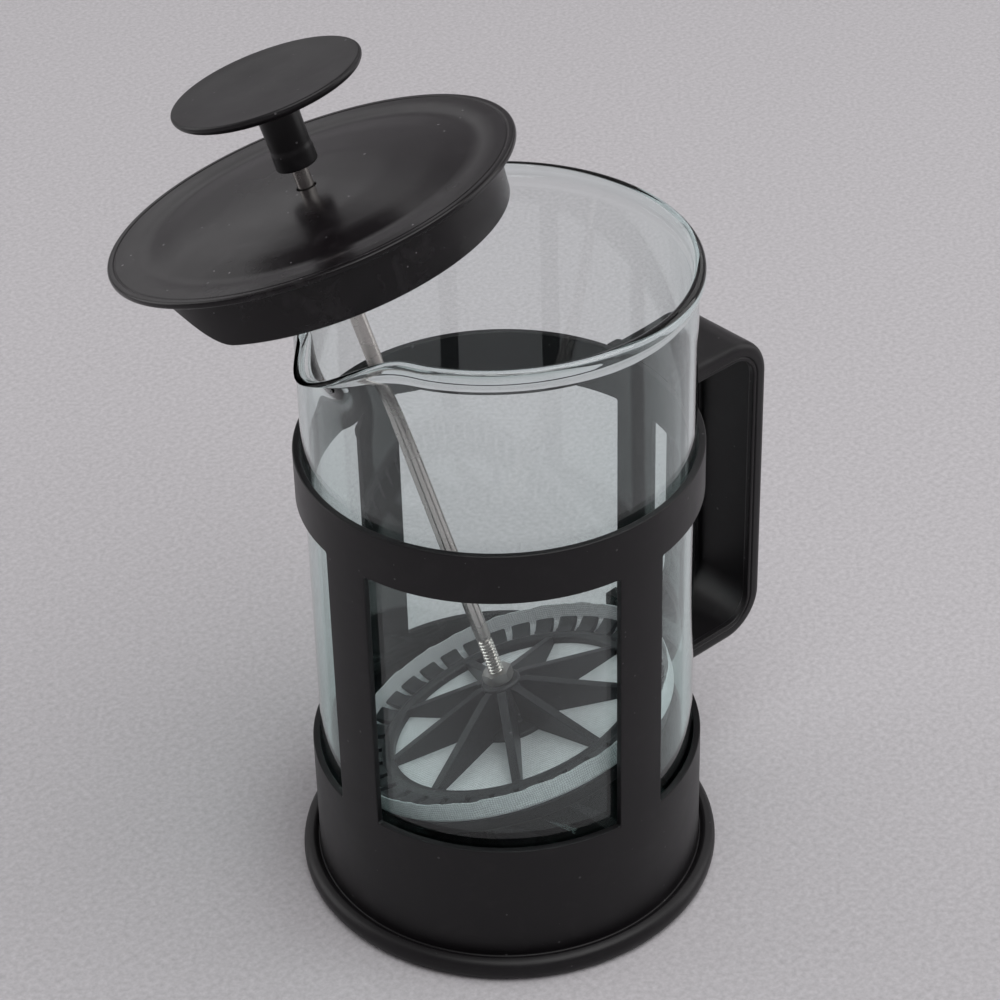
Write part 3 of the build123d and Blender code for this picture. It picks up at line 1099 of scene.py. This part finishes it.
class PRESS_OT_filter(bpy.types.Operator):
    """Builds the filter: spider, woven mesh and base plate"""

    bl_idname = "press.filter"
    bl_label = "Filter"

    def execute(self, context):
        sizes = context.scene.press_plunger
        finishes = context.scene.press_finishes
        plastic = moulded_plastic("filter", finishes.filter, gloss=0.36, wear=0.5)
        matrix = plunger_matrix()
        bm = bmesh.new()
        self.shape_spider(bm, sizes)
        finish_piece(
            bm, "filter_spider_plate", "plunger", "filter_plastic", plastic, "filter_spider", matrix=matrix
        )
        bm = bmesh.new()
        self.shape_mesh(bm, sizes)
        finish_piece(
            bm,
            "filter_mesh_dish",
            "plunger",
            "mesh_steel",
            woven_mesh("Stainless steel wire, woven", finishes.mesh, finishes.mesh_gap, sizes.weave),
            "filter_mesh",
            matrix=matrix,
        )
        bm = bmesh.new()
        self.shape_base(bm, sizes)
        finish_piece(
            bm, "filter_base", "plunger", "filter_plastic", plastic, "filter_base_plate", matrix=matrix
        )
        return {"FINISHED"}

    def shape_spider(self, bm, sizes):
        """Hub, disc, fins, ring and fingers."""
        low = SPIDER_FOOT
        hub = sizes.hub_height / MM
        turned(
            bm,
            [
                (2.1, low, 0),
                (11, low, 0),
                (11, low + 1.2, 0.4),
                (5.6, low + 1.4, 0.6),
                (5.2, hub - 1.6, 0),
                (5.2, hub - 0.5, 0.3),
                (4.6, hub, 0.3),
                (2.1, hub, 0.1),
            ],
            steps=SMALL_TURN_STEPS,
        )
        inner, outer = SPIDER_RING
        turned(
            bm,
            [
                (inner, low, 0),
                (outer, low, 0),
                (outer + 0.2, low + 1.8, 0.4),
                (inner + 1.8, low + 2.4, 0.5),
                (inner, low + 1.8, 0.5),
            ],
        )
        spread(bm, self.make_fin(bm, low, hub, inner + 0.6), sizes.fins, sizes.first_fin)
        spread(bm, self.make_finger(bm, low, 2 * pi / sizes.fingers), sizes.fingers)

    def make_fin(self, bm, low, hub, end):
        """An upright web, tall at the hub and low at the ring, with rounded edges."""
        before = set(bm.verts)
        outline = [(3.6, low), (end, low), (end, low + 1.9), (7.0, hub - 1.1), (3.6, hub - 0.8)]
        face = bm.faces.new([bm.verts.new((x * MM, -FIN_WIDTH / 2 * MM, z * MM)) for x, z in outline])
        made = bmesh.ops.extrude_face_region(bm, geom=[face], use_keep_orig=True)["geom"]
        far_side = [g for g in made if isinstance(g, bmesh.types.BMVert)]
        bmesh.ops.translate(bm, vec=(0, FIN_WIDTH * MM, 0), verts=far_side)
        own = set(made_since(bm, before))
        bmesh.ops.recalc_face_normals(bm, faces=unique(f for v in own for f in v.link_faces))

        def upper(edge):
            return set(edge.verts) <= own and min(v.co.z for v in edge.verts) > (low + 0.1) * MM

        soften(bm, sharp_edges(bm, 50, upper), 0.25)
        return made_since(bm, before)

    def make_finger(self, bm, low, pitch):
        """One sprung finger of the rim, curved up to the glass, with round corners."""
        before = set(bm.verts)
        section = [
            (35.2, low, 0),
            (37.0, low + 0.1, 0.6),
            (40.4, low + 1.1, 1.2),
            (41.7, low + 2.5, 0.4),
            (41.2, low + 3.1, 0.4),
            (39.6, low + 2.5, 1.0),
            (37.0, low + 1.8, 0.8),
            (35.2, low + 1.8, 0),
        ]
        verts, edges = profile(bm, section)
        gap = FINGER_GAP / FINGER_GAP_RADIUS
        bmesh.ops.rotate(bm, verts=verts, cent=(0, 0, 0), matrix=Matrix.Rotation(gap / 2, 3, "Z"))
        bmesh.ops.spin(bm, geom=verts + edges, cent=(0, 0, 0), axis=(0, 0, 1), angle=pitch - gap, steps=6)
        own = set(made_since(bm, before))
        bmesh.ops.holes_fill(bm, edges=[e for e in bm.edges if e.is_boundary and e.verts[0] in own], sides=0)
        bmesh.ops.recalc_face_normals(bm, faces=unique(f for v in own for f in v.link_faces))

        def corner(edge):
            return set(edge.verts) <= own and min(hypot(v.co.x, v.co.y) for v in edge.verts) > 37.3 * MM

        soften(bm, sharp_edges(bm, 60, corner), 0.45)
        return made_since(bm, before)

    def shape_mesh(self, bm, sizes):
        """The mesh dish, with its own map in metres that follows the cloth round the turned-up edge."""
        radius = sizes.mesh_radius / MM
        height = sizes.mesh_height / MM
        hole = sizes.rod_radius / MM + 0.05
        cloth = 0.25
        turned(
            bm,
            [
                (hole, 0, 0),
                (radius * 0.5, 0, 0),
                (radius, 0, 1.3),
                (radius, height, 0.1),
                (radius - cloth, height, 0.1),
                (radius - cloth, cloth, 1.1),
                (radius * 0.5, cloth, 0),
                (hole, cloth, 0),
            ],
        )
        # The cut edge waves up and down, and leans in a little towards the top.
        for v in bm.verts:
            turn = atan2(v.co.y, v.co.x)
            rise = v.co.z / (height * MM)
            wave = 0.5 * sin(23 * turn) + 0.35 * sin(41 * turn + 1) + 0.3 * sin(67 * turn + 2)
            v.co.z += 0.28 * MM * wave * max(rise, 0) ** 3
            flare = 1 - 0.12 * MM / hypot(v.co.x, v.co.y) * (0.6 + 0.4 * sin(31 * turn)) * max(rise, 0) ** 2
            v.co.x *= flare
            v.co.y *= flare
        layer = bm.loops.layers.uv.new("weave")
        for face in bm.faces:
            middle = face.calc_center_median()
            upright = abs(face.normal.z) < 0.6 and middle.z > 0.3 * MM
            centre = atan2(middle.y, middle.x)
            for loop in face.loops:
                co = loop.vert.co
                if upright:
                    turn = centre + azimuth_from(loop.vert, centre)
                    loop[layer].uv = (turn * sizes.mesh_radius, co.z)
                else:
                    loop[layer].uv = (co.x, co.y)

    def shape_base(self, bm, sizes):
        """The plate under the mesh: tapered rim, spokes and hub."""
        turned(
            bm,
            [
                (34, BASE_TOP, 0.3),
                (43, BASE_TOP, 0.4),
                (42.7, -1.0, 0.3),
                (40.6, BASE_FOOT, 0.5),
                (39.0, BASE_FOOT, 0.5),
                (40.2, -1.5, 0.5),
                (34, -1.5, 0.3),
            ],
        )
        turned(
            bm,
            [
                (0, BASE_TOP, 0),
                (7, BASE_TOP, 0),
                (7, BASE_FOOT, 0.5),
                (3.3, BASE_FOOT, 0.3),
                (3.3, -5.0, 0),
                (0, -5.0, 0),
            ],
            closed=False,
            steps=SMALL_TURN_STEPS,
        )
        before = set(bm.verts)
        own = set(block(bm, (6, -1.5, -2.5), (35, 1.5, BASE_TOP)))

        def below(edge):
            return set(edge.verts) <= own and min(v.co.z for v in edge.verts) < -2.4 * MM

        soften(bm, sharp_edges(bm, 50, below), 0.4)
        spread(bm, made_since(bm, before), sizes.fins, sizes.first_fin)


class PRESS_OT_fixings(bpy.types.Operator):
    """Gives the screws and threaded bushes, which keep their CAD shape, their metals"""

    bl_idname = "press.fixings"
    bl_label = "Screws and bushes"

    def execute(self, context):
        finishes = context.scene.press_finishes
        steel = drawn_steel("Steel, plated, screws", finishes.plate, 0.28)
        brass = drawn_steel("Brass, turned", finishes.brass, 0.3)
        metals = {
            "handle_screw_upper": steel,
            "handle_screw_lower": steel,
            "knob_insert": brass,
            "base_plate_insert": brass,
        }
        for name, metal in metals.items():
            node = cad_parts[name]
            node.data.materials.clear()
            node.data.materials.append(metal)
        return {"FINISHED"}


class PRESS_OT_stage(bpy.types.Operator):
    """Sets up the paper, the soft lights and the camera"""

    bl_idname = "press.stage"
    bl_label = "Stage"

    def execute(self, context):
        settings = context.scene.press_stage
        self.lay_paper(context)
        self.place_camera(context, settings)
        self.hang_lights(context, settings)
        context.scene.view_settings.view_transform = "Standard"
        context.scene.view_settings.look = "None"
        return {"FINISHED"}

    def lay_paper(self, context):
        """A floor of paper that sweeps up into a wall all round."""
        bm = bmesh.new()
        edges = profile(bm, [(0, 0, 0), (2400, 0, 1000), (2600, 2600, 0), (0, 2600, 0)], closed=False)[1]
        ceiling = [e for e in edges if min(v.co.z for v in e.verts) > 2500 * MM]
        bmesh.ops.delete(bm, geom=ceiling, context="EDGES")
        bmesh.ops.spin(
            bm,
            geom=bm.verts[:] + bm.edges[:],
            cent=(0, 0, 0),
            axis=(0, 0, 1),
            angle=2 * pi,
            steps=PAPER_TURN_STEPS,
            use_merge=True,
        )
        bmesh.ops.remove_doubles(bm, verts=bm.verts[:], dist=MERGE_WITHIN)
        bmesh.ops.recalc_face_normals(bm, faces=bm.faces[:])
        for face in bm.faces:
            face.smooth = True
        if min(bm.faces, key=lambda f: f.calc_center_median().z).normal.z < 0:
            bmesh.ops.reverse_faces(bm, faces=bm.faces[:])
        mesh = bpy.data.meshes.new("paper_sweep")
        bm.to_mesh(mesh)
        bm.free()
        mesh.materials.append(paper("Paper, uncoated", context.scene.press_finishes.paper))
        sweep = bpy.data.objects.new("paper_sweep", mesh)
        context.scene.collection.objects.link(sweep)

    def place_camera(self, context, settings):
        """Looks at the target from the set direction."""
        back = towards(settings.azimuth, settings.elevation)
        right = Vector((-sin(settings.azimuth), cos(settings.azimuth), 0))
        up = back.cross(right)
        across = right * cos(settings.roll) + up * sin(settings.roll)
        upward = up * cos(settings.roll) - right * sin(settings.roll)
        camera = bpy.data.objects.new("Camera", bpy.data.cameras.new("Camera"))
        camera.matrix_world = Matrix.Translation(Vector(settings.target) + back * settings.distance) @ Matrix(
            (across, upward, back)
        ).transposed().to_4x4()
        camera.data.lens = settings.lens
        camera.data.sensor_width = 36
        camera.data.clip_start = 0.01
        context.scene.collection.objects.link(camera)
        context.scene.camera = camera

    def hang_lights(self, context, settings):
        """Large soft boxes, placed by their direction from the camera's side."""
        world = bpy.data.worlds.new("Surround")
        context.scene.world = world
        world.use_nodes = True
        background = world.node_tree.nodes["Background"]
        background.inputs["Color"].default_value = linear("#ffffff")
        background.inputs["Strength"].default_value = settings.surround
        # Each box's name, turn from the camera and height angle, then distance, width and depth in
        # metres, and power in watts.
        boxes = (
            ("Top box", 48, 68, 2.0, 2.2, 1.8, 31),
            ("Back box", -146, 22, 1.6, 1.1, 0.7, 1.3),
            ("Far box", 150, 32, 1.6, 1.0, 0.6, 1.5),
            ("Left box", -105, 20, 1.3, 0.8, 1.1, 4.8),
            ("Right box", 105, 20, 1.3, 0.8, 1.1, 3.8),
        )
        for name, turn, height, distance, width, depth, power in boxes:
            lamp = bpy.data.lights.new(name, "AREA")
            lamp.shape = "RECTANGLE"
            lamp.size = width
            lamp.size_y = depth
            lamp.energy = power
            box = bpy.data.objects.new(name, lamp)
            direction = towards(settings.azimuth + radians(turn), radians(height))
            box.location = direction * distance + Vector((0, 0, 0.1))
            box.rotation_euler = direction.to_track_quat("Z", "Y").to_euler()
            context.scene.collection.objects.link(box)


class PRESS_PT_panel(bpy.types.Panel):
    """Lists the pieces and their sizes"""

    bl_idname = "PRESS_PT_panel"
    bl_label = "French Press"
    bl_space_type = "VIEW_3D"
    bl_region_type = "UI"
    bl_category = "French Press"

    def draw(self, context):
        for operator, group in STEPS:
            box = self.layout.box()
            box.operator(operator.bl_idname)
            if group:
                settings = getattr(context.scene, group)
                for name in settings.__annotations__:
                    box.prop(settings, name)


GROUPS = {
    "press_holder": PressHolderSizes,
    "press_handle": PressHandleSizes,
    "press_beaker": PressBeakerSizes,
    "press_lid": PressLidSizes,
    "press_plunger": PressPlungerSizes,
    "press_finishes": PressFinishes,
    "press_stage": PressStageSettings,
}
STEPS = (
    (PRESS_OT_holder, "press_holder"),
    (PRESS_OT_handle, "press_handle"),
    (PRESS_OT_beaker, "press_beaker"),
    (PRESS_OT_lid, "press_lid"),
    (PRESS_OT_knob, "press_plunger"),
    (PRESS_OT_rod, None),
    (PRESS_OT_filter, None),
    (PRESS_OT_fixings, "press_finishes"),
    (PRESS_OT_stage, "press_stage"),
)


def register():
    for name, group in GROUPS.items():
        bpy.utils.register_class(group)
        setattr(bpy.types.Scene, name, PointerProperty(type=group))
    for operator, _ in STEPS:
        bpy.utils.register_class(operator)
    bpy.utils.register_class(PRESS_PT_panel)


def unregister():
    bpy.utils.unregister_class(PRESS_PT_panel)
    for operator, _ in reversed(STEPS):
        bpy.utils.unregister_class(operator)
    for name, group in reversed(GROUPS.items()):
        delattr(bpy.types.Scene, name)
        bpy.utils.unregister_class(group)


def main():
    register()
    for operator, _ in STEPS:
        module, name = operator.bl_idname.split(".")
        getattr(getattr(bpy.ops, module), name)()


if __name__ == "__main__":
    main()
